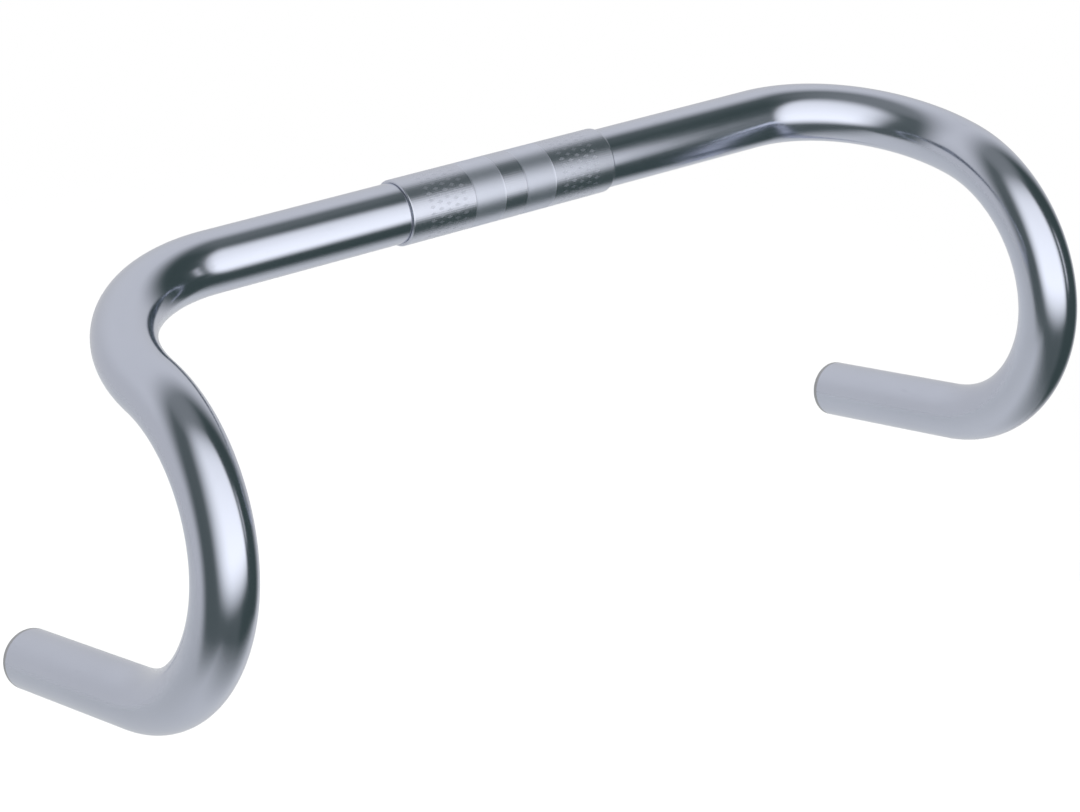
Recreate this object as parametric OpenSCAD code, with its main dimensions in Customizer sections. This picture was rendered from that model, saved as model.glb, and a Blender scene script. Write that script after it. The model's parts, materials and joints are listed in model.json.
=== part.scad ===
// Drop handlebar: one bent aluminium tube with a sleeve pressed on where the stem clamps it.
// Millimetres. +X is the rider's right, +Y is forward and +Z is up.
// The origin is the centre of the stem clamp.

/* [Tube] */
// Outside diameter of the tube, which grips and lever bands fit
tube_d = 23.8; // [22:0.1:24.2]
// Wall thickness of the tube
tube_wall = 1.6; // [1:0.1:3]
// Chamfer on the inner and outer edges of the open ends
end_chamfer = 0.4; // [0.1:0.1:0.8]

/* [Tops] */
// Width between the centre lines of the tube where the hooks begin
width = 390; // [340:5:460]
// Centre-line radius of the bend at each end of the tops
corner_r = 63.5; // [50:0.5:80]
// Angle by which the reach runs downhill to the front
reach_slope = 9.5; // [0:0.5:20]

/* [Hooks] */
// Angle by which each hook leans outward
flare = 4; // [0:0.5:12]
// Centre-line radius of the upper part of the hook
hook_upper_r = 57.5; // [45:0.5:75]
// Angle that the upper part of the hook turns through
hook_upper_angle = 95.5; // [80:0.5:105]
// Centre-line radius of the lower part of the hook
hook_lower_r = 71; // [50:0.5:90]
// Angle that the lower part of the hook turns through
hook_lower_angle = 62.5; // [50:0.5:75]
// Length of the straight drop behind the hook
drop_length = 79; // [50:1:130]

/* [Clamp sleeve] */
// Outside diameter of the sleeve, which the stem clamps
clamp_d = 26; // [25.4:0.1:31.8]
// Length of the sleeve
sleeve_length = 98; // [60:1:140]
// Radial gap between the tube and the sleeve, none for the press fit
sleeve_gap = 0; // [0:0.01:0.1]
// Chamfer that leads from the sleeve down to the tube
sleeve_chamfer = 0.6; // [0.2:0.1:1]

/* [Hidden] */
$fn = 96;

// The tops turn into the reach at a right angle, and the hooks hang from it
corner_angle = 90;
hang_angle = 90;

tube_r = tube_d / 2;
bore_r = tube_r - tube_wall;
top_half = width / 2 - corner_r;

sleeve_r = clamp_d / 2;
sleeve_bore_r = tube_r + sleeve_gap;
sleeve_half = sleeve_length / 2;

// A chamfer stays within the wall that it is cut in
rim = min(end_chamfer, tube_wall / 3);
lead = min(sleeve_chamfer, (sleeve_r - sleeve_bore_r) * 0.8);

// Every second piece of the tube has a core, within its wall, that laps into the pieces on
// both sides and joins them all into one solid. Its skin stops a hairline short of theirs.
core_depth = tube_wall / 4;
lap = 0.5;
hairline = 0.002;

// Cross-section of the tube's wall, or of the core that lies this deep in it
module wall_section(depth = 0) {
    difference() {
        circle(tube_r - depth);
        circle(bore_r + depth);
    }
}

// The angle that an arc of this length spans
function arc_angle(length, radius) = length / radius * 180 / PI;

// The next modules lay the tube the way a bending machine does. Each starts at the
// local origin, runs along +Y and places what follows where its own piece ends.

// A bend of the tube toward -X
module bend(radius, angle) {
    translate([-radius, 0, 0]) {
        rotate_extrude(angle = angle)
            translate([radius, 0])
                wall_section();
        rotate([0, 0, angle])
            translate([radius, 0, 0])
                children();
    }
}

// A bend whose core laps into the pieces before and after it
module lapped_bend(radius, angle) {
    hair_angle = arc_angle(hairline, radius);
    lap_angle = arc_angle(lap, radius);
    translate([-radius, 0, 0]) {
        rotate_extrude(start = hair_angle, angle = angle - 2 * hair_angle)
            translate([radius, 0])
                wall_section();
        rotate_extrude(start = -lap_angle, angle = angle + 2 * lap_angle)
            translate([radius, 0])
                wall_section(core_depth);
        rotate([0, 0, angle])
            translate([radius, 0, 0])
                children();
    }
}

// A turn about the centre line, which sets the plane of the next bend
module roll(angle) {
    rotate([0, angle, 0])
        children();
}

// The last straight, with both edges of its open end broken
module open_end(length) {
    rotate([-90, 0, 0])
        rotate_extrude()
            polygon([
                [bore_r, 0],
                [tube_r, 0],
                [tube_r, length - rim],
                [tube_r - rim, length],
                [bore_r + rim, length],
                [bore_r, length - rim]
            ]);
}

// The straight between the two corners
module tops() {
    rotate([0, 90, 0])
        translate([0, 0, -top_half])
            linear_extrude(2 * top_half)
                wall_section();
}

// Corner, hook and drop on the rider's right
module right_side() {
    translate([top_half, 0, 0])
        rotate([0, 0, -90])
            roll(-reach_slope)
                lapped_bend(corner_r, corner_angle)
                    roll(-hang_angle - flare)
                        bend(hook_upper_r, hook_upper_angle)
                            lapped_bend(hook_lower_r, hook_lower_angle)
                                open_end(drop_length);
}

// The tube is one piece from end to end
module bar_tube() {
    color("silver")
        union() {
            tops();
            right_side();
            mirror([1, 0, 0])
                right_side();
        }
}

// A turned ring over the middle of the tops, chamfered down to the tube at each end
module clamp_sleeve() {
    color("gainsboro")
        rotate([0, 90, 0])
            rotate_extrude()
                polygon([
                    [sleeve_bore_r, -sleeve_half],
                    [sleeve_r - lead, -sleeve_half],
                    [sleeve_r, -sleeve_half + lead],
                    [sleeve_r, sleeve_half - lead],
                    [sleeve_r - lead, sleeve_half],
                    [sleeve_bore_r, sleeve_half]
                ]);
}

bar_tube();
clamp_sleeve();
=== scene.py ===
"""Looks of a drop handlebar: the bent tube, the clamp sleeve and the studio around them."""

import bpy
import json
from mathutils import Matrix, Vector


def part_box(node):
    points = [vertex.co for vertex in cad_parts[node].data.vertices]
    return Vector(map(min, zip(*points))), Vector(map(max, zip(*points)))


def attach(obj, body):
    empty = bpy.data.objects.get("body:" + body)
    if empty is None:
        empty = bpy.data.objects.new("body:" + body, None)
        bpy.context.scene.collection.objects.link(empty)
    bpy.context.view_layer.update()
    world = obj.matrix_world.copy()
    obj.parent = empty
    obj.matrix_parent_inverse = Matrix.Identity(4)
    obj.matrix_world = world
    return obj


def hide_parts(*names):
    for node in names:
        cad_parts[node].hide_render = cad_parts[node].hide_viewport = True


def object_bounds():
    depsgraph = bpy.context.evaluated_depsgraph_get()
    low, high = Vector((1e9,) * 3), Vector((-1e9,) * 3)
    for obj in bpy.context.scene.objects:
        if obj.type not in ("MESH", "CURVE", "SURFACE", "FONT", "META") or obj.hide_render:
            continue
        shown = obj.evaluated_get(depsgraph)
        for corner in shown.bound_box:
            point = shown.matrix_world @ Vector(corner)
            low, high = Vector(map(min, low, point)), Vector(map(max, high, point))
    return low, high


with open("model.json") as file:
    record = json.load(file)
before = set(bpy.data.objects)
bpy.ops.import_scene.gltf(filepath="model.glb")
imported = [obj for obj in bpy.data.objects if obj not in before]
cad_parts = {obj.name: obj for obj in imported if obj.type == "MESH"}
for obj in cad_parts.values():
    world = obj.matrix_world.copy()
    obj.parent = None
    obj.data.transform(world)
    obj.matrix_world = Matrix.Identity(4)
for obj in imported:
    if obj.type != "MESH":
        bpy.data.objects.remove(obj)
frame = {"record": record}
cad_box = [list(corner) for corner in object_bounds()]

import json
import math
from collections import namedtuple

import bmesh
import bpy
from bpy.props import FloatProperty, FloatVectorProperty, IntProperty, PointerProperty
from mathutils import Matrix, Vector, kdtree

bl_info = {
    "name": "Drop Handlebar",
    "version": (1, 0, 0),
    "blender": (4, 5, 0),
    "location": "3D View > Sidebar > Handlebar",
    "description": "Models a bent handlebar tube and its clamp sleeve, and sets a studio around them",
    "category": "Add Mesh",
}

MOUNTS = {mount["name"]: mount for mount in frame["record"]["mounts"]}
TUBE_RADIUS = MOUNTS["drop_grip_right"]["dims"]["r_mm"] / 1000
BORE_RADIUS = MOUNTS["bar_end_right"]["dims"]["r_mm"] / 1000
SLEEVE_LOW, SLEEVE_HIGH = (Vector(corner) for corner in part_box("clamp_sleeve"))
BLACK = (0, 0, 0, 1)
WHITE = (1, 1, 1, 1)

# Slack in metres for a point on a plane or ring: as placed, after an edit, and along and across a bent end
EXACT = 1e-6
CLOSE = 1e-5
MOUTH_SLACK = 2e-5
RING_SLACK = 1e-4

# Steps along the tube, and edges sharper than these stay sharp
STRAIGHT_STEP = 0.002
BEND_STEP = math.radians(1.9)
TUBE_CREASE = math.radians(50)
SLEEVE_CREASE = math.radians(40)

# Knurl: least share of the radius that counts as skin, slack in rows, and the merge that spares its points
SKIN_SHARE = 0.95
ROW_SLACK = 0.05
KNURL_MERGE = 1e-7

# Marks on the tube: noise cells per metre along, beside and over it
TUBE_CLOUD_CELLS = (28.0, 60.0, 60.0)
TUBE_STREAK_CELLS = (35.0, 1400.0, 1400.0)
TUBE_RUB_CELLS = (140.0, 420.0, 420.0)
TUBE_RIPPLE_CELLS = (30.0, 55.0, 55.0)
NOISE_ROUGHNESS = 0.55
# Where they lie: noise levels of a rub, depths below the skin, and distances at the rim and from the sleeve
RUB_EDGE = (0.60, 0.78)
RAW_EDGE = (0.00008, 0.00045)
# A darker, rougher ring at each cut end of the tube: how far its edge wanders and where it fades
RIM_RING_WANDER = 0.0006
RIM_RING_FADE = 0.15
# Painted shade: a dark band on the tube at each end of the sleeve, where the tube goes under it
JOINT_SHADE_EDGE = (0.00015, 0.0006)
JOINT_SHADE_UNDER = 0.001
# What they do: tones as shares of the alloy, cover, added roughness, and height in bumps
TUBE_CLOUD_TONES = (0.955, 1.03)
RUB_TONE, RUB_COVER = 0.86, 0.25
# Tone and cover of the painted shade beside the sleeve's ends
JOINT_SHADE_TONE, JOINT_SHADE_COVER = 0.30, 0.7
TUBE_CLOUD_ROUGH = 0.05
STREAK_ROUGH = 0.06
RUB_ROUGH = 0.05
RIM_RING_ROUGH = 0.12
RAW_ROUGH = 0.18
JOINT_SHADE_ROUGH = 0.3
STREAK_HEIGHT = 0.012
TUBE_BUMP = 0.00006

# Marks on the sleeve, in the same units
SLEEVE_TURNED_CELLS = (2600.0, 40.0, 40.0)
SLEEVE_CLOUD_CELLS = (60.0, 60.0, 60.0)
BAND_BLUR = 0.0001
LOZENGE_LONG, LOZENGE_ROUND = 2.0, 2.6
LOZENGE_EDGE = (0.66, 0.78)
SLEEVE_CLOUD_TONES = (0.96, 1.03)
KNURL_TONE = 1.14
TURNED_ROUGH = 0.05
SLEEVE_CLOUD_ROUGH = 0.04
ETCHED_ROUGH = 0.11
KNURL_ROUGH = 0.14
TURNED_HEIGHT = 0.05
ETCHED_DEPTH = 0.12
SLEEVE_BUMP = 0.00004

# Floor in metres: its size, how its front slants and falls back at the flanks, and radii of its outer fade
FLOOR_WIDTH, FLOOR_DEPTH = 4.0, 3.8
FLOOR_SLANT = 0.345
FLANK_START, FLANK_SLOPE = 0.467, 1.314
FLOOR_REACH = (1.75, 0.92)
FLOOR_WHITE = (0.86, 0.86, 0.86, 1)
# Loss of the floor's shine per metre
SHINE_ACROSS, SHINE_AHEAD = 0.066, 0.134

# Room: parts of a direction between which the wall, the ceiling and the side wall come in, and their shares
WALL_EDGE = (0.07, -0.465)
WALL_RISE, WALL_GAIN = (0.0, 0.6), 1.14
CEILING_EDGE, CEILING_SHARE = (0.706, 1.0), 0.272
SIDE_WALL_EDGE, SIDE_WALL_SHARE = (-0.50, -0.20), 0.081

# Softbox in metres from its middle: outer and inner edges of both panes, and where its light falls off
SOFTBOX_ACROSS = (-0.885, -0.82, 0.135, 1.03)
SOFTBOX_UP = (-0.732, -0.19, 0.53, 1.54)
SIDE_ACROSS = (-1.50, -1.30, -1.16, -1.04)
SIDE_UP = (-0.42, -0.15, 0.20, 0.45)
TOP_FALL, TOP_LOSS = (-0.5, 1.17), 0.357
LEFT_FALL, LEFT_LOSS = (-0.62, -0.88), 0.48

SENSOR_WIDTH = 36.0
CLIP_START, CLIP_END = 0.01, 50.0

Station = namedtuple("Station", "run place along level")


def size(name, default, description):
    return FloatProperty(name=name, description=description, default=default, min=0.0,
                         precision=5, subtype="DISTANCE", unit="LENGTH")


def offset(name, default, description):
    return FloatProperty(name=name, description=description, default=default,
                         precision=5, subtype="DISTANCE", unit="LENGTH")


def angle(name, default, description):
    return FloatProperty(name=name, description=description, default=math.radians(default),
                         subtype="ANGLE", unit="ROTATION")


def colour(name, default, description):
    return FloatVectorProperty(name=name, description=description, default=default, size=3,
                               min=0.0, max=1.0, subtype="COLOR")


def share(name, default, description):
    return FloatProperty(name=name, description=description, default=default, min=0.0, max=1.0,
                         subtype="FACTOR")


def count(name, default, least, most, description):
    return IntProperty(name=name, description=description, default=default, min=least, max=most)


class TubeSettings(bpy.types.PropertyGroup):
    """Bend table and polish of the tube"""
    diameter: size("Diameter", 2 * TUBE_RADIUS, "Outer diameter of the tube")
    wall: size("Wall", TUBE_RADIUS - BORE_RADIUS, "Thickness of the tube's wall")
    width: size("Width", 0.390, "Distance between the hooks, on the centre line")
    corner_radius: size("Corner Radius", 0.0635, "Radius of the bend from the tops to the reach")
    reach_slope: angle("Reach Slope", 9.5, "How far the reach slopes downhill")
    flare: angle("Flare", 4.0, "How far each hook leans outward")
    hook_upper_radius: size("Upper Hook Radius", 0.0575, "Radius of the hook's first bend")
    hook_upper_angle: angle("Upper Hook Angle", 95.5, "Turn of the hook's first bend")
    hook_lower_radius: size("Lower Hook Radius", 0.071, "Radius of the hook's second bend")
    hook_lower_angle: angle("Lower Hook Angle", 62.5, "Turn of the hook's second bend")
    drop_length: size("Drop Length", 0.079, "Length of the straight drop")
    rim_round: size("Rim Round", 0.0010, "Radius of the outer edge of each cut end")
    rim_band: size("Rim Band", 0.0030, "Width of the bare machined ring at each cut end")
    bore_break: size("Bore Break", 0.00025, "Width of the broken edge of the bore at each cut end")
    sides: count("Sides", 96, 24, 192, "Edges around the tube")
    alloy: colour("Alloy", (0.622, 0.655, 0.757), "Colour of the polished tube")
    darker: colour("Darker Rim", (0.43, 0.44, 0.46), "Colour of the machined ring at each cut end")
    raw: colour("Raw", (0.36, 0.365, 0.38), "Colour of the raw metal in the bore")
    polish: share("Polish Roughness", 0.165, "Roughness of the polished tube")


class SleeveSettings(bpy.types.PropertyGroup):
    """Sizes and finishes of the clamp sleeve"""
    diameter: size("Diameter", SLEEVE_HIGH.z - SLEEVE_LOW.z, "Outer diameter of the sleeve")
    length: size("Length", SLEEVE_HIGH.x - SLEEVE_LOW.x, "Length of the sleeve")
    gap: size("Gap", 0.00002, "Gap between the sleeve's bore and the tube")
    edge: size("Edge", 0.0006, "Chamfer at each end of the sleeve")
    centre_band: size("Centre Band", 0.0103, "Width of the polished band in the middle")
    knurl_band: size("Knurled Band", 0.0143, "Width of each knurled band")
    knurl_depth: size("Knurl Depth", 0.00005, "Depth of the knurl's grooves")
    knurl_rows: count("Knurl Rows", 17, 4, 40, "Rows of points along each knurled band")
    etch_start: size("Etch Start", 0.0225, "Distance from the middle to the nearest lozenges")
    etch_end: size("Etch End", 0.0415, "Distance from the middle to the farthest lozenges")
    etch_column: size("Etch Column", 0.0038, "Width of one column of lozenges")
    etch_around: count("Etch Around", 30, 6, 90, "Lozenges around the sleeve in each column")
    sides: count("Sides", 96, 24, 192, "Edges around the sleeve")
    alloy: colour("Alloy", (0.635, 0.665, 0.762), "Colour of the polished sleeve")
    polish: share("Polish Roughness", 0.235, "Roughness of the polished bands")


class StageSettings(bpy.types.PropertyGroup):
    """Camera, floor, room and softbox"""
    azimuth: angle("Azimuth", 37.66, "Camera's turn from straight ahead towards the rider's right")
    elevation: angle("Elevation", 24.36, "Camera's height above the horizon")
    distance: size("Distance", 1.1828, "Camera's distance from the clamp's plane")
    aim_right: offset("Aim Right", 0.01674, "Picture centre's place right of the clamp")
    aim_up: offset("Aim Up", -0.08576, "Picture centre's place above the clamp")
    lens: FloatProperty(name="Lens", description="Focal length on a 36 mm sensor", default=101.04,
                        min=10.0, subtype="DISTANCE_CAMERA", unit="CAMERA")
    floor_drop: size("Floor Drop", 0.44, "Gap between the floor and the lowest point of the bar")
    floor_front: size("Floor Front", 0.533, "How far the floor reaches ahead of the clamp")
    floor_fade: size("Floor Fade", 0.562, "Depth over which the front of the floor fades into the dark")
    floor_glow: share("Floor Glow", 0.72,
                      "Light that the floor adds towards the camera, for a white ground")
    floor_shine: share("Floor Shine", 0.20, "Light that the floor adds in mirrored rays")
    pale: colour("Pale", (0.65, 0.65, 0.655), "Light from the pale side of the studio")
    dark: colour("Dark", (0.054, 0.077, 0.073), "Light from the unlit side of the studio")
    softbox_distance: size("Softbox Distance", 0.745, "Distance from the clamp to the softbox")
    softbox_turn: angle("Softbox Turn", 9.27,
                        "Softbox's turn from straight ahead towards the rider's right")
    softbox_lift: angle("Softbox Lift", 9.82, "Softbox's height above the horizon")
    softbox_light: FloatProperty(name="Softbox Light", description="Brightness of the softbox",
                                 default=1.48, min=0.0)


class Value:
    """A number on a node's socket. Arithmetic on it adds Math nodes."""

    def __init__(self, sheet, socket):
        self.sheet = sheet
        self.socket = socket

    def __add__(self, other):
        return self.sheet.math("ADD", self, other)

    def __radd__(self, other):
        return self.sheet.math("ADD", other, self)

    def __sub__(self, other):
        return self.sheet.math("SUBTRACT", self, other)

    def __rsub__(self, other):
        return self.sheet.math("SUBTRACT", other, self)

    def __mul__(self, other):
        return self.sheet.math("MULTIPLY", self, other)

    def __rmul__(self, other):
        return self.sheet.math("MULTIPLY", other, self)

    def __truediv__(self, other):
        return self.sheet.math("DIVIDE", self, other)

    def __rtruediv__(self, other):
        return self.sheet.math("DIVIDE", other, self)

    def __abs__(self):
        return self.sheet.math("ABSOLUTE", self)

    def __gt__(self, other):
        return self.sheet.math("GREATER_THAN", self, other)

    def __lt__(self, other):
        return self.sheet.math("LESS_THAN", self, other)


class Sheet:
    """A node tree that is filled by expressions."""

    def __init__(self, tree):
        self.tree = tree
        tree.nodes.clear()

    def node(self, kind, settings=None, inputs=None, output=0):
        """Adds a node, sets it up, feeds its sockets and gives an output, or several for a tuple."""
        made = self.tree.nodes.new(kind)
        for key, value in (settings or {}).items():
            setattr(made, key, value)
        for key, value in (inputs or {}).items():
            if isinstance(value, Value):
                self.tree.links.new(value.socket, made.inputs[key])
            else:
                made.inputs[key].default_value = value
        if isinstance(output, tuple):
            return [Value(self, made.outputs[key]) for key in output]
        return Value(self, made.outputs[output]) if made.outputs else made

    def math(self, operation, *values):
        return self.node("ShaderNodeMath", {"operation": operation}, dict(enumerate(values)))

    def ramp(self, value, low, high):
        """Goes smoothly from 0 at low to 1 at high."""
        return self.node("ShaderNodeMapRange", {"interpolation_type": "SMOOTHSTEP"},
                         {"Value": value, "From Min": low, "From Max": high})

    def mix(self, factor, first, second):
        """Mixes two colours. On this node sockets 6 and 7 take colours, and output 2 gives one."""
        return self.node("ShaderNodeMix", {"data_type": "RGBA"}, {0: factor, 6: first, 7: second}, 2)

    def noise(self, vector, cells, detail):
        """Noise with so many cells per metre on each axis."""
        stretched = self.node("ShaderNodeVectorMath", {"operation": "MULTIPLY"}, {0: vector, 1: cells})
        return self.node("ShaderNodeTexNoise", None,
                         {"Vector": stretched, "Scale": 1.0, "Detail": detail, "Roughness": NOISE_ROUGHNESS})

    def place(self, source):
        """A texture coordinate and its three parts."""
        spot = self.node("ShaderNodeTexCoord", None, None, source)
        return spot, self.parts(spot)

    def parts(self, vector):
        return self.node("ShaderNodeSeparateXYZ", None, {"Vector": vector}, (0, 1, 2))

    def glow(self, level, strength):
        """White light of a strength, dimmed by a level from 0 to 1."""
        return self.node("ShaderNodeEmission", None,
                         {"Color": self.mix(level, BLACK, WHITE), "Strength": strength})


def opaque(rgb):
    return (*rgb, 1.0)


def new_finish(name):
    material = bpy.data.materials.new(name)
    material.use_nodes = True
    return material, Sheet(material.node_tree)


def close_metal(sheet, tone, rough, height, bump):
    """Ends a finish in a bare metal: its colour, roughness, and height in bumps of so many metres."""
    normal = sheet.node("ShaderNodeBump", None, {"Strength": 1.0, "Distance": bump, "Height": height})
    shader = sheet.node("ShaderNodeBsdfPrincipled", None,
                        {"Metallic": 1.0, "IOR": 1.5, "Base Color": tone, "Roughness": rough,
                         "Normal": normal})
    sheet.node("ShaderNodeOutputMaterial", None, {"Surface": shader})


def close_panel(sheet, inside, lit):
    """Ends a finish of the stage: lit inside, and clear elsewhere."""
    clear = sheet.node("ShaderNodeBsdfTransparent")
    surface = sheet.node("ShaderNodeMixShader", None, {0: inside, 1: clear, 2: lit})
    sheet.node("ShaderNodeOutputMaterial", None, {"Surface": surface})


def polished_tube(tube, sleeve, end):
    """Silver anodised polish that follows the tube round its bends, with a darker, rougher ring at each cut
    end, a raw bore, and painted shade on the tube beside each end of the sleeve.
    """
    material, sheet = new_finish("polished_tube")
    laid = sheet.node("ShaderNodeAttribute", {"attribute_name": "laid"}, None, "Vector")
    along, side, over = sheet.parts(laid)
    radius = sheet.math("SQRT", side * side + over * over)
    skin = tube.diameter / 2

    cloud = sheet.noise(laid, TUBE_CLOUD_CELLS, detail=3.0)
    streak = sheet.noise(laid, TUBE_STREAK_CELLS, detail=2.0)
    rub = sheet.ramp(sheet.noise(laid, TUBE_RUB_CELLS, detail=4.0), *RUB_EDGE)
    ripple = sheet.noise(laid, TUBE_RIPPLE_CELLS, detail=1.0)

    raw = sheet.ramp(radius, skin - RAW_EDGE[0], skin - RAW_EDGE[1])
    # A darker, rougher ring at each cut end
    darker = sheet.ramp(abs(along) + RIM_RING_WANDER * (rub - 0.5), end - tube.rim_band,
                          end - (1 - RIM_RING_FADE) * tube.rim_band)
    # Painted shade on the tube beside each end of the sleeve, fading away from it
    from_sleeve = abs(along) - sleeve.length / 2
    joint_shade = (1.0 - sheet.ramp(from_sleeve, *JOINT_SHADE_EDGE)) * (from_sleeve > -JOINT_SHADE_UNDER)

    alloy = Vector(tube.alloy)
    tone = sheet.mix(cloud, *(opaque(alloy * level) for level in TUBE_CLOUD_TONES))
    tone = sheet.mix(rub * RUB_COVER, tone, opaque(alloy * RUB_TONE))
    tone = sheet.mix(darker, tone, opaque(tube.darker))
    tone = sheet.mix(raw, tone, opaque(tube.raw))
    # The painted shade beside the sleeve darkens the tone
    tone = sheet.mix(joint_shade * JOINT_SHADE_COVER, tone, opaque(alloy * JOINT_SHADE_TONE))
    rough = tube.polish + TUBE_CLOUD_ROUGH * (cloud - 0.5) + STREAK_ROUGH * (streak - 0.5)
    rough = rough + RUB_ROUGH * rub + RIM_RING_ROUGH * darker + RAW_ROUGH * raw + JOINT_SHADE_ROUGH * joint_shade
    close_metal(sheet, tone, rough, ripple + STREAK_HEIGHT * streak, TUBE_BUMP)
    return material


def polished_sleeve(sleeve):
    """Turned polish with etched lozenges on the outer bands and a satin knurl beside the middle."""
    material, sheet = new_finish("polished_sleeve")
    spot, (along, side, over) = sheet.place("Object")
    round_arc = sheet.math("ARCTAN2", over, side) * (sleeve.diameter / 2)
    out = abs(along)

    start = sleeve.centre_band / 2
    end = start + sleeve.knurl_band
    knurl = sheet.ramp(out, start - BAND_BLUR, start + BAND_BLUR)
    knurl = knurl * (1.0 - sheet.ramp(out, end - BAND_BLUR, end + BAND_BLUR))

    pitch = math.pi * sleeve.diameter / sleeve.etch_around
    column = (out - sleeve.etch_start) / sleeve.etch_column
    row = round_arc / pitch + 0.5 * sheet.math("MODULO", sheet.math("FLOOR", column), 2.0)
    from_column, from_row = (abs(sheet.math("FRACT", line) - 0.5) for line in (column, row))
    etched = 1.0 - sheet.ramp(from_column * LOZENGE_LONG + from_row * LOZENGE_ROUND, *LOZENGE_EDGE)
    etched = etched * (out > sleeve.etch_start) * (out < sleeve.etch_end)

    turned = sheet.noise(spot, SLEEVE_TURNED_CELLS, detail=2.0)
    cloud = sheet.noise(spot, SLEEVE_CLOUD_CELLS, detail=3.0)
    alloy = Vector(sleeve.alloy)
    tone = sheet.mix(cloud, *(opaque(alloy * level) for level in SLEEVE_CLOUD_TONES))
    tone = sheet.mix(knurl, tone, opaque(alloy * KNURL_TONE))
    rough = sleeve.polish + TURNED_ROUGH * (turned - 0.5) + SLEEVE_CLOUD_ROUGH * (cloud - 0.5)
    rough = rough + ETCHED_ROUGH * etched + KNURL_ROUGH * knurl
    close_metal(sheet, tone, rough, TURNED_HEIGHT * turned - ETCHED_DEPTH * etched, SLEEVE_BUMP)
    return material


def edit_only(obj):
    """Leaves one object selected and opens it in edit mode."""
    bpy.ops.object.select_all(action="DESELECT")
    obj.select_set(True)
    bpy.context.view_layer.objects.active = obj
    bpy.ops.object.mode_set(mode="EDIT")


def start_piece(name):
    """Names the new primitive, puts its turn into its mesh and opens it in edit mode."""
    obj = bpy.context.object
    obj.name = obj.data.name = name
    bpy.ops.object.transform_apply(rotation=True)
    edit_only(obj)
    return obj


def pick(obj, kind, test):
    """In edit mode, selects the vertices, edges or faces whose corners all pass the test."""
    bpy.ops.mesh.select_all(action="DESELECT")
    bpy.ops.mesh.select_mode(type=kind)
    shape = bmesh.from_edit_mesh(obj.data)
    items = {"VERT": shape.verts, "EDGE": shape.edges, "FACE": shape.faces}[kind]
    found = 0
    for item in items:
        corners = [item] if kind == "VERT" else item.verts
        if all(test(corner.co) for corner in corners):
            item.select_set(True)
            found += 1
    shape.select_flush_mode()
    bmesh.update_edit_mesh(obj.data)
    if not found:
        raise RuntimeError("nothing to select on " + obj.name)


def merge_and_face_out(threshold):
    """In edit mode, merges doubles, recalculates the normals and goes back to object mode."""
    bpy.ops.mesh.select_all(action="SELECT")
    bpy.ops.mesh.remove_doubles(threshold=threshold)
    bpy.ops.mesh.normals_make_consistent(inside=False)
    bpy.ops.object.mode_set(mode="OBJECT")


def apply_modifier(obj, kind, **settings):
    modifier = obj.modifiers.new(kind.lower(), kind)
    for key, value in settings.items():
        setattr(modifier, key, value)
    bpy.ops.object.modifier_apply(modifier=modifier.name)


def bend_table(tube):
    """Right half of the bar, from the middle of the tops to the open end."""
    return (
        ("feed", tube.width / 2 - tube.corner_radius),
        ("roll", -tube.reach_slope),
        ("bend", tube.corner_radius, math.pi / 2),
        ("roll", -math.pi / 2 - tube.flare),
        ("bend", tube.hook_upper_radius, tube.hook_upper_angle),
        ("bend", tube.hook_lower_radius, tube.hook_lower_angle),
        ("feed", tube.drop_length - tube.rim_band),
        ("feed", tube.rim_band),
    )


def draw_tube(tube):
    """Pushes a ring of the tube's diameter through the bend table, and gives the mesh and its stations."""
    bpy.ops.object.select_all(action="DESELECT")
    bpy.ops.mesh.primitive_circle_add(vertices=tube.sides, radius=tube.diameter / 2,
                                      rotation=(0, math.pi / 2, 0))
    obj = start_piece("bar_tube_polished")
    bpy.ops.mesh.select_all(action="SELECT")

    run, place = 0.0, Vector((0, 0, 0))
    along, level, turn = Vector((1, 0, 0)), Vector((0, 1, 0)), Vector((0, 1, 0))
    stations = []
    for kind, *amounts in bend_table(tube):
        if kind == "roll":
            turn = Matrix.Rotation(amounts[0], 3, along) @ turn
        elif kind == "feed":
            length = amounts[0]
            steps = max(1, round(length / STRAIGHT_STEP))
            for step in range(steps + 1):
                fed = length * step / steps
                stations.append(Station(run + fed, place + along * fed, along.copy(), level.copy()))
            bpy.ops.mesh.extrude_region_move(TRANSFORM_OT_translate={"value": along * length})
            place = place + along * length
            run += length
        else:
            radius, bent = amounts
            centre, axle = place + turn * radius, along.cross(turn)
            arm = place - centre
            steps = max(1, round(bent / BEND_STEP))
            for step in range(steps + 1):
                swing = Matrix.Rotation(bent * step / steps, 3, axle)
                stations.append(Station(run + radius * bent * step / steps, centre + swing @ arm,
                                        swing @ along, swing @ level))
            bpy.ops.mesh.spin(steps=steps, angle=-bent, center=centre, axis=axle)
            place = centre + swing @ arm
            along, turn, level = swing @ along, swing @ turn, swing @ level
            run += radius * bent
    merge_and_face_out(EXACT)

    spokes = [vertex.co - place for vertex in obj.data.vertices]
    reach = max((spoke.length for spoke in spokes
                 if abs(spoke.dot(along)) < CLOSE and spoke.length < tube.diameter), default=0.0)
    if abs(reach - tube.diameter / 2) > CLOSE:
        raise RuntimeError("the tube's end isn't where the bend table puts it")
    return obj, stations


def turn_skin_out(obj, tube):
    """Flips the open tube if its faces point at its axis."""
    tops_end = tube.width / 2 - tube.corner_radius
    face = next(face for face in obj.data.polygons if face.center.x < tops_end)
    if face.normal.dot(Vector((0, face.center.y, face.center.z))) < 0:
        edit_only(obj)
        bpy.ops.mesh.select_all(action="SELECT")
        bpy.ops.mesh.flip_normals()
        bpy.ops.object.mode_set(mode="OBJECT")


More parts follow.
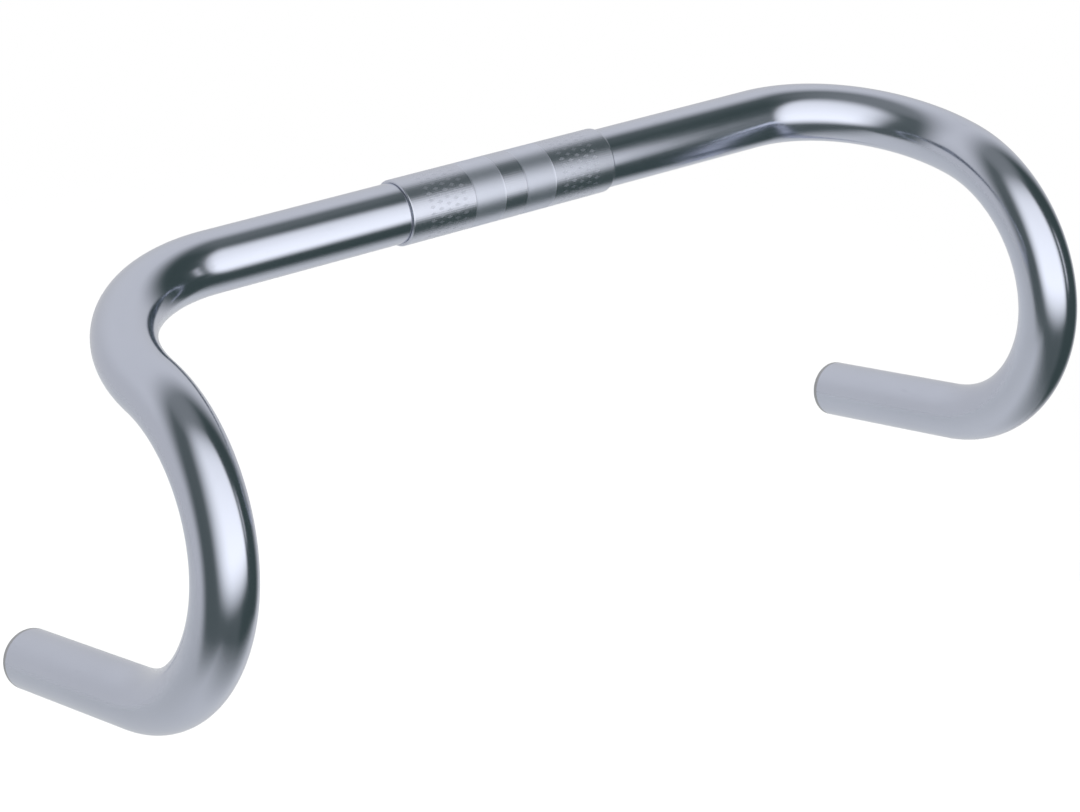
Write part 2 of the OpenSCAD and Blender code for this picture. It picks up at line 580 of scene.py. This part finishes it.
def round_rims(obj, tube, mouth):
    """Rounds the outer edge of both cut ends and breaks the edge of their bore."""
    def at_mouth(radius):
        def test(co):
            spoke = Vector((abs(co.x), co.y, co.z)) - mouth.place
            return abs(spoke.dot(mouth.along)) < MOUTH_SLACK and abs(spoke.length - radius) < RING_SLACK
        return test

    edit_only(obj)
    pick(obj, "EDGE", at_mouth(tube.diameter / 2))
    bpy.ops.mesh.bevel(offset=tube.rim_round, segments=5, profile=0.5, affect="EDGES")
    pick(obj, "EDGE", at_mouth(tube.diameter / 2 - tube.wall))
    bpy.ops.mesh.bevel(offset=tube.bore_break, segments=2, profile=0.5, affect="EDGES")
    bpy.ops.object.mode_set(mode="OBJECT")


def lay_straight(obj, stations):
    """Stores where each point lay on the tube before it was bent, for the finish."""
    tree = kdtree.KDTree(len(stations))
    for index, station in enumerate(stations):
        tree.insert(station.place, index)
    tree.balance()
    values = []
    for vertex in obj.data.vertices:
        hand = 1 if vertex.co.x >= 0 else -1
        spot = Vector((abs(vertex.co.x), vertex.co.y, vertex.co.z))
        near = stations[tree.find(spot)[1]]
        spoke = spot - near.place
        values.append(hand * (near.run + spoke.dot(near.along)))
        values += [spoke.dot(near.level), spoke.dot(near.along.cross(near.level))]
    laid = obj.data.attributes.new("laid", "FLOAT_VECTOR", "POINT")
    laid.data.foreach_set("vector", values)


class MakeBarTube(bpy.types.Operator):
    """Bends the tube, gives it its wall and rounds the rims of its open ends"""
    bl_idname = "handlebar.bar_tube"
    bl_label = "Bar Tube"

    def execute(self, context):
        tube, sleeve = context.scene.bar_tube, context.scene.clamp_sleeve
        obj, stations = draw_tube(tube)
        turn_skin_out(obj, tube)
        apply_modifier(obj, "MIRROR", use_axis=(True, False, False), merge_threshold=CLOSE)
        apply_modifier(obj, "SOLIDIFY", thickness=tube.wall, offset=-1.0, use_even_offset=True)
        round_rims(obj, tube, stations[-1])
        bpy.ops.object.shade_smooth_by_angle(angle=TUBE_CREASE)
        lay_straight(obj, stations)
        obj.data.materials.append(polished_tube(tube, sleeve, stations[-1].run))
        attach(obj, "root")
        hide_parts("bar_tube")
        return {"FINISHED"}


def from_axis(co):
    """Distance of a point from the sleeve's axis."""
    return math.hypot(co.y, co.z)


def turn_sleeve(sleeve):
    """An open cylinder, cut along the rows of the knurl."""
    bpy.ops.object.select_all(action="DESELECT")
    bpy.ops.mesh.primitive_cylinder_add(vertices=sleeve.sides, radius=sleeve.diameter / 2,
                                        depth=sleeve.length, end_fill_type="NOTHING",
                                        rotation=(0, math.pi / 2, 0))
    obj = start_piece("clamp_sleeve_knurled")
    start, pitch = sleeve.centre_band / 2, sleeve.knurl_band / sleeve.knurl_rows
    for hand in (-1, 1):
        for row in range(sleeve.knurl_rows + 1):
            bpy.ops.mesh.select_all(action="SELECT")
            bpy.ops.mesh.bisect(plane_co=(hand * (start + row * pitch), 0, 0), plane_no=(1, 0, 0))
    return obj


def bore_sleeve(obj, sleeve, tube):
    """Closes the ends down to a bore that clears the tube, and chamfers them."""
    radius, bore = sleeve.diameter / 2, tube.diameter / 2 + sleeve.gap

    def on_end(co):
        return abs(abs(co.x) - sleeve.length / 2) < EXACT

    pick(obj, "EDGE", on_end)
    bpy.ops.mesh.extrude_region_move(TRANSFORM_OT_translate={"value": (0, 0, 0)})
    bpy.ops.transform.resize(value=(1, bore / radius, bore / radius), center_override=(0, 0, 0))
    pick(obj, "EDGE", lambda co: on_end(co) and from_axis(co) > radius - CLOSE)
    bpy.ops.mesh.bevel(offset=sleeve.edge, segments=3, profile=0.5, affect="EDGES")
    pick(obj, "EDGE", lambda co: from_axis(co) < bore + CLOSE)
    bpy.ops.mesh.bridge_edge_loops()


def knurl_sleeve(obj, sleeve):
    """Cuts both bands into diamonds, sinks the grooves between them and keeps the bands' edges sharp."""
    radius, start = sleeve.diameter / 2, sleeve.centre_band / 2
    end, pitch = start + sleeve.knurl_band, sleeve.knurl_band / sleeve.knurl_rows

    def in_band(co, slack):
        return from_axis(co) > radius * SKIN_SHARE and start - slack < abs(co.x) < end + slack

    def on_row(co, part):
        row = (abs(co.x) - start) / pitch - part
        return abs(row - round(row)) < ROW_SLACK

    def on_skin(co):
        return from_axis(co) > radius - EXACT

    pick(obj, "FACE", lambda co: in_band(co, EXACT))
    bpy.ops.mesh.poke(offset=0)
    pick(obj, "EDGE", lambda co: in_band(co, -EXACT) and on_row(co, 0.0) and on_skin(co))
    bpy.ops.mesh.subdivide(number_cuts=1, quadcorner="STRAIGHT_CUT")
    pick(obj, "FACE", lambda co: in_band(co, EXACT))
    bpy.ops.mesh.quads_convert_to_tris(quad_method="SHORTEST_DIAGONAL")
    pick(obj, "VERT", lambda co: in_band(co, -EXACT) and on_row(co, 0.0 if on_skin(co) else 0.5))
    squeeze = 1 - sleeve.knurl_depth / radius
    bpy.ops.transform.resize(value=(1, squeeze, squeeze), center_override=(0, 0, 0))
    breaks = (start, end, sleeve.length / 2 - sleeve.edge)
    pick(obj, "EDGE", lambda co: min(abs(abs(co.x) - spot) for spot in breaks) < CLOSE)
    bpy.ops.mesh.mark_sharp()


class MakeClampSleeve(bpy.types.Operator):
    """Turns the clamp sleeve, chamfers its ends and knurls two bands"""
    bl_idname = "handlebar.clamp_sleeve"
    bl_label = "Clamp Sleeve"

    def execute(self, context):
        sleeve, tube = context.scene.clamp_sleeve, context.scene.bar_tube
        obj = turn_sleeve(sleeve)
        bore_sleeve(obj, sleeve, tube)
        knurl_sleeve(obj, sleeve)
        merge_and_face_out(KNURL_MERGE)
        bpy.ops.object.shade_smooth_by_angle(angle=SLEEVE_CREASE)
        obj.data.materials.append(polished_sleeve(sleeve))
        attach(obj, "root")
        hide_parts("clamp_sleeve")
        return {"FINISHED"}


def towards(turn, lift):
    """Direction at a turn from straight ahead towards the rider's right and a lift above the horizon."""
    return Vector((math.sin(turn) * math.cos(lift), math.cos(turn) * math.cos(lift), math.sin(lift)))


def new_panel(name, middle, width, depth):
    """A plane of the stage, with its size and place in its mesh."""
    bpy.ops.object.select_all(action="DESELECT")
    bpy.ops.mesh.primitive_plane_add(size=1.0)
    panel = bpy.context.object
    panel.name = panel.data.name = name
    panel.data.transform(Matrix.Translation(middle) @ Matrix.Diagonal((width, depth, 1, 1)))
    return panel


def ray_kinds(sheet):
    """Whether a ray comes straight from the camera or through glass, and whether from a mirror."""
    camera, glass, mirrored = sheet.node("ShaderNodeLightPath", None, None,
                                         ("Is Camera Ray", "Is Transmission Ray", "Is Glossy Ray"))
    return sheet.math("MAXIMUM", camera, glass), mirrored


def lay_floor(stage):
    """A pale floor that ends softly ahead of the bar and all round. Only its upper side is lit."""
    middle = (0, stage.floor_front - FLOOR_DEPTH / 2, cad_box[0][2] - stage.floor_drop)
    floor = new_panel("floor", middle, FLOOR_WIDTH, FLOOR_DEPTH)
    material, sheet = new_finish("pale_floor")
    _, (across, ahead, _) = sheet.place("Object")
    flank = sheet.math("MAXIMUM", abs(across) - FLANK_START, 0.0)
    inside = sheet.ramp(ahead - FLOOR_SLANT * across + FLANK_SLOPE * flank, stage.floor_front,
                        stage.floor_front - stage.floor_fade)
    inside = inside * sheet.ramp(sheet.math("SQRT", across * across + ahead * ahead), *FLOOR_REACH)
    above = 1.0 - sheet.node("ShaderNodeNewGeometry", None, None, "Backfacing")
    direct, mirrored = ray_kinds(sheet)
    uneven = sheet.math("MAXIMUM", stage.floor_shine - SHINE_ACROSS * across - SHINE_AHEAD * ahead, 0.0)
    shine = sheet.glow(direct * stage.floor_glow + mirrored * uneven, 1.0)
    matt = sheet.node("ShaderNodeBsdfDiffuse", None, {"Color": FLOOR_WHITE})
    lit = sheet.node("ShaderNodeAddShader", None, {0: matt, 1: shine})
    close_panel(sheet, inside * above, lit)
    floor.data.materials.append(material)


def paint_room(scene, stage):
    """A pale wall behind the bar, a dark room ahead of it and a plain white backdrop for the camera."""
    world = bpy.data.worlds.new("studio")
    world.use_nodes = True
    scene.world = world
    sheet = Sheet(world.node_tree)
    _, (across, ahead, up) = sheet.place("Generated")
    behind = sheet.ramp(ahead, *WALL_EDGE)
    above = sheet.ramp(up, *CEILING_EDGE) * CEILING_SHARE
    beside = sheet.ramp(across, *SIDE_WALL_EDGE) * SIDE_WALL_SHARE
    pale = sheet.math("MAXIMUM", sheet.math("MAXIMUM", behind, above), beside)
    wall = sheet.mix(sheet.ramp(up, *WALL_RISE), opaque(stage.pale), opaque(Vector(stage.pale) * WALL_GAIN))
    room = sheet.mix(pale, opaque(stage.dark), wall)
    direct, _ = ray_kinds(sheet)
    seen = sheet.mix(direct, room, WHITE)
    glow = sheet.node("ShaderNodeBackground", None, {"Color": seen, "Strength": 1.0})
    sheet.node("ShaderNodeOutputWorld", None, {"Surface": glow})


def lit_pane(sheet, across, up, sides, heights):
    """One pane of the softbox: dark outside its outer edges, full inside its inner ones."""
    left, from_left, from_right, right = sides
    foot, from_foot, from_top, top = heights
    lit = sheet.ramp(across, left, from_left) * sheet.ramp(across, right, from_right)
    return lit * sheet.ramp(up, foot, from_foot) * sheet.ramp(up, top, from_top)


def hang_softbox(stage):
    """A wide softbox ahead of the bar with a small pane beside it. Both fade out towards their edges."""
    left, right = SIDE_ACROSS[0], SOFTBOX_ACROSS[3]
    foot, top = SOFTBOX_UP[0], SOFTBOX_UP[3]
    softbox = new_panel("softbox", ((left + right) / 2, (foot + top) / 2, 0), right - left, top - foot)
    way = towards(stage.softbox_turn, stage.softbox_lift)
    rightward = Vector((math.cos(stage.softbox_turn), -math.sin(stage.softbox_turn), 0))
    axes = Matrix((rightward, rightward.cross(way), way)).transposed().to_4x4()
    softbox.matrix_world = Matrix.Translation(way * stage.softbox_distance) @ axes
    softbox.visible_camera = False
    material, sheet = new_finish("softbox_cloth")
    _, (across, up, _) = sheet.place("Object")
    main_pane = lit_pane(sheet, across, up, SOFTBOX_ACROSS, SOFTBOX_UP)
    side_pane = lit_pane(sheet, across, up, SIDE_ACROSS, SIDE_UP)
    level = 1.0 - TOP_LOSS * sheet.ramp(up, *TOP_FALL)
    level = level * (1.0 - LEFT_LOSS * sheet.ramp(across, *LEFT_FALL))
    glow = sheet.glow(level, stage.softbox_light)
    close_panel(sheet, sheet.math("MAXIMUM", main_pane, side_pane), glow)
    softbox.data.materials.append(material)


def aim_camera(scene, stage):
    """Sets up the camera, aimed past the clamp by so much right and up."""
    back = towards(stage.azimuth, stage.elevation)
    right = Vector((-math.cos(stage.azimuth), math.sin(stage.azimuth), 0))
    up = back.cross(right)
    lens = bpy.data.cameras.new("camera")
    lens.sensor_fit = "HORIZONTAL"
    lens.sensor_width = SENSOR_WIDTH
    lens.lens = stage.lens
    lens.clip_start, lens.clip_end = CLIP_START, CLIP_END
    camera = bpy.data.objects.new("camera", lens)
    scene.collection.objects.link(camera)
    camera.location = right * stage.aim_right + up * stage.aim_up + back * stage.distance
    camera.rotation_euler = (-back).to_track_quat("-Z", "Y").to_euler()
    scene.camera = camera
    scene.view_settings.view_transform = "Standard"


class MakeStage(bpy.types.Operator):
    """Sets the floor, the light of the studio and the camera"""
    bl_idname = "handlebar.stage"
    bl_label = "Stage"

    def execute(self, context):
        stage = context.scene.handlebar_stage
        lay_floor(stage)
        paint_room(context.scene, stage)
        hang_softbox(stage)
        aim_camera(context.scene, stage)
        return {"FINISHED"}


class HandlebarPanel(bpy.types.Panel):
    """Lists the pieces of the handlebar and the stage"""
    bl_idname = "VIEW3D_PT_handlebar"
    bl_label = "Handlebar"
    bl_space_type = "VIEW_3D"
    bl_region_type = "UI"
    bl_category = "Handlebar"

    def draw(self, context):
        for operator, settings in (("handlebar.bar_tube", context.scene.bar_tube),
                                   ("handlebar.clamp_sleeve", context.scene.clamp_sleeve),
                                   ("handlebar.stage", context.scene.handlebar_stage)):
            box = self.layout.box()
            box.operator(operator)
            for name in settings.__annotations__:
                box.prop(settings, name)


CLASSES = (
    TubeSettings,
    SleeveSettings,
    StageSettings,
    MakeBarTube,
    MakeClampSleeve,
    MakeStage,
    HandlebarPanel,
)


def register():
    for item in CLASSES:
        bpy.utils.register_class(item)
    bpy.types.Scene.bar_tube = PointerProperty(type=TubeSettings)
    bpy.types.Scene.clamp_sleeve = PointerProperty(type=SleeveSettings)
    bpy.types.Scene.handlebar_stage = PointerProperty(type=StageSettings)


def unregister():
    del bpy.types.Scene.handlebar_stage
    del bpy.types.Scene.clamp_sleeve
    del bpy.types.Scene.bar_tube
    for item in reversed(CLASSES):
        bpy.utils.unregister_class(item)


def main():
    register()
    bpy.ops.handlebar.bar_tube()
    bpy.ops.handlebar.clamp_sleeve()
    bpy.ops.handlebar.stage()


if __name__ == "__main__":
    main()
